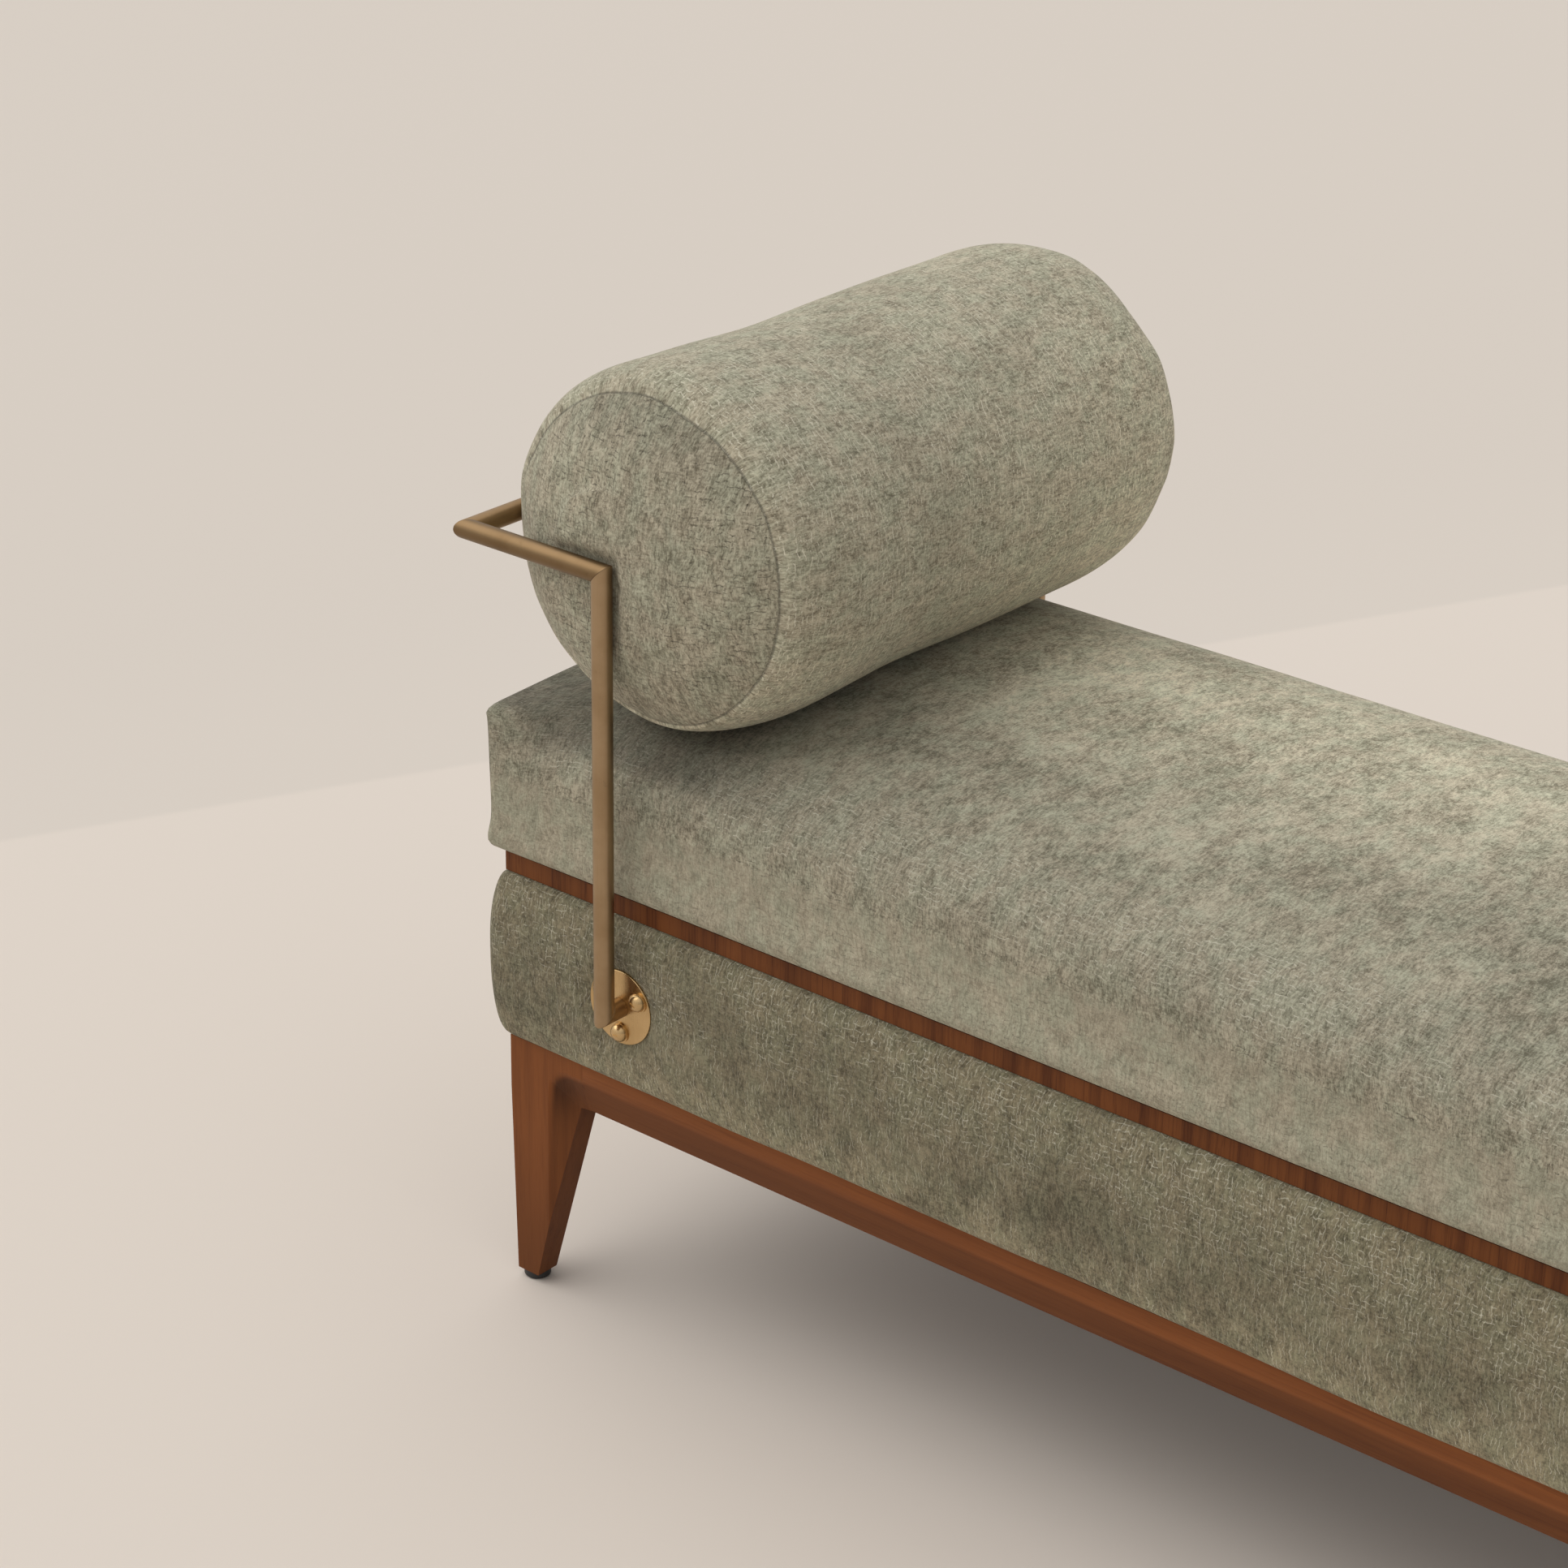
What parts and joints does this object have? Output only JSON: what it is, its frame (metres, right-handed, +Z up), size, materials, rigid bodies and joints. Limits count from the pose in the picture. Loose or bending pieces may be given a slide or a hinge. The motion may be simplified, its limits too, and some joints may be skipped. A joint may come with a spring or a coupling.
{
  "type": "daybed",
  "caption": "Long backless daybed: tapered wood legs, padded base, wood band, loose seat mattress, and a round bolster cradled in a slim brass rail at one end.",
  "frame": {"origin": "on the floor, under the middle of the daybed", "axes": "+X along the length, from the bolster end to the open end; +Y from front to back; +Z up"},
  "size_m": [1.829, 0.553, 0.8044],
  "materials": {
    "walnut": "satin oiled",
    "plywood": "bare",
    "sage_chenille": "short pile chenille",
    "foam": "open cell",
    "brass": "satin brushed",
    "steel": "zinc plated",
    "black_nylon": "moulded",
    "black_cloth": "plain weave"
  },
  "bodies": {
    "frame": {"leg_front_left": "walnut", "leg_front_right": "walnut", "leg_back_left": "walnut", "leg_back_right": "walnut", "rail_front": "walnut", "rail_back": "walnut", "rail_left": "walnut", "rail_right": "walnut", "cross_rail_left": "walnut", "cross_rail_middle": "walnut", "cross_rail_right": "walnut", "corner_blocks": "plywood", "corner_bolts": "steel", "glide_sleeves": "steel", "box_panel_front": "plywood", "box_panel_back": "plywood", "box_panel_left": "plywood", "box_panel_right": "plywood", "box_ribs": "plywood", "box_bolts": "steel", "dust_cover": "black_cloth", "base_pad_front": "foam", "base_pad_back": "foam", "base_pad_left": "foam", "base_pad_right": "foam", "base_cover_front": "sage_chenille", "base_cover_back": "sage_chenille", "base_cover_left": "sage_chenille", "base_cover_right": "sage_chenille", "band_front": "walnut", "band_back": "walnut", "band_left": "walnut", "band_right": "walnut", "deck": "plywood", "rail_stub_front": "brass", "rail_post_front": "brass", "rail_arm_front": "brass", "rail_crossbar": "brass", "rail_arm_back": "brass", "rail_post_back": "brass", "rail_stub_back": "brass", "plate_front": "brass", "plate_back": "brass", "plate_screws_front": "brass", "plate_screws_back": "brass", "plate_spacer_front": "plywood", "plate_spacer_back": "plywood"},
    "glide_front_left": {"glide_front_left": "black_nylon"},
    "glide_front_right": {"glide_front_right": "black_nylon"},
    "glide_back_left": {"glide_back_left": "black_nylon"},
    "glide_back_right": {"glide_back_right": "black_nylon"},
    "mattress": {"mattress_core": "foam", "mattress_cover": "sage_chenille", "mattress_zip": "black_cloth"},
    "mattress_zip_pull": {"mattress_zip_pull": "brass"},
    "bolster": {"bolster_core": "foam", "bolster_cover": "sage_chenille", "bolster_zip": "black_cloth"},
    "bolster_zip_pull": {"bolster_zip_pull": "brass"}
  },
  "joints": [
    {"name": "glide_front_left_screw", "type": "slide", "parent": "frame", "child": "glide_front_left", "axis": [0, 0, -1], "range_m": [0, 0.008]},
    {"name": "glide_front_right_screw", "type": "slide", "parent": "frame", "child": "glide_front_right", "axis": [0, 0, -1], "range_m": [0, 0.008]},
    {"name": "glide_back_left_screw", "type": "slide", "parent": "frame", "child": "glide_back_left", "axis": [0, 0, -1], "range_m": [0, 0.008]},
    {"name": "glide_back_right_screw", "type": "slide", "parent": "frame", "child": "glide_back_right", "axis": [0, 0, -1], "range_m": [0, 0.008]},
    {"name": "mattress_slide", "type": "slide", "parent": "frame", "child": "mattress", "axis": [1, 0, 0], "range_m": [0, 1.9]},
    {"name": "mattress_zip", "type": "slide", "parent": "mattress", "child": "mattress_zip_pull", "axis": [-1, 0, 0], "range_m": [0, 1.26]},
    {"name": "bolster_lift", "type": "slide", "parent": "mattress", "child": "bolster", "axis": [0, 0, 1], "range_m": [0, 0.3]},
    {"name": "bolster_zip", "type": "slide", "parent": "bolster", "child": "bolster_zip_pull", "axis": [0, 1, 0], "range_m": [0, 0.26]}
  ]
}
